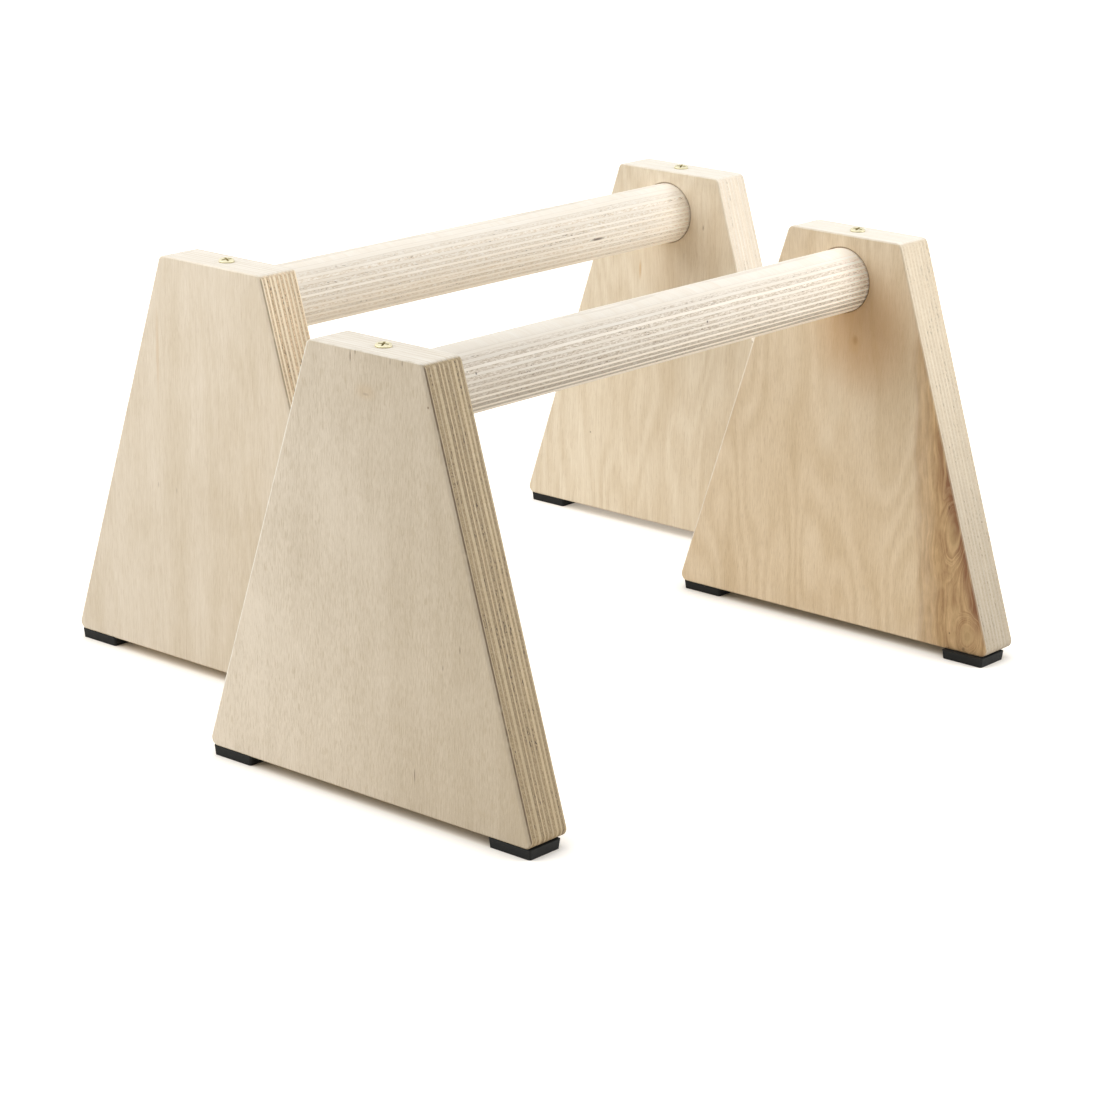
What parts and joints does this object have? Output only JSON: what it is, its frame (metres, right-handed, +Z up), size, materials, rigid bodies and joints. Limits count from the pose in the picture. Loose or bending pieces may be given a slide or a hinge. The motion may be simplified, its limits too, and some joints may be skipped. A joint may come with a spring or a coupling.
{
  "type": "parallette bars",
  "caption": "Low free-standing wooden parallette bars: a round laminated grip housed in tapered plywood end plates, held by round-head screws and standing on rubber foot pads.",
  "frame": {"origin": "on the floor, at the centre of the footprint of the two bars as they stand", "axes": "+X along the grips, +Y from the front bar to the rear bar, +Z up"},
  "size_m": [0.48, 0.394, 0.2241],
  "materials": {
    "plate_plywood": "sanded birch plywood, bare or clear matt",
    "grip_laminate": "turned laminated birch, sanded bare",
    "screw_yellow_zinc": "yellow zinc plated steel",
    "foot_rubber": "matt black rubber"
  },
  "bodies": {
    "front_bar": {"front_left_plate": "plate_plywood", "front_right_plate": "plate_plywood", "front_grip": "grip_laminate", "front_left_screw": "screw_yellow_zinc", "front_right_screw": "screw_yellow_zinc", "front_left_fore_foot": "foot_rubber", "front_left_aft_foot": "foot_rubber", "front_right_fore_foot": "foot_rubber", "front_right_aft_foot": "foot_rubber"},
    "rear_bar": {"rear_left_plate": "plate_plywood", "rear_right_plate": "plate_plywood", "rear_grip": "grip_laminate", "rear_left_screw": "screw_yellow_zinc", "rear_right_screw": "screw_yellow_zinc", "rear_left_fore_foot": "foot_rubber", "rear_left_aft_foot": "foot_rubber", "rear_right_fore_foot": "foot_rubber", "rear_right_aft_foot": "foot_rubber"}
  },
  "joints": [
    {"name": "bar_spacing", "type": "slide", "parent": "front_bar", "child": "rear_bar", "axis": [0, 1, 0], "range_m": [-0.1, 0.415]}
  ]
}
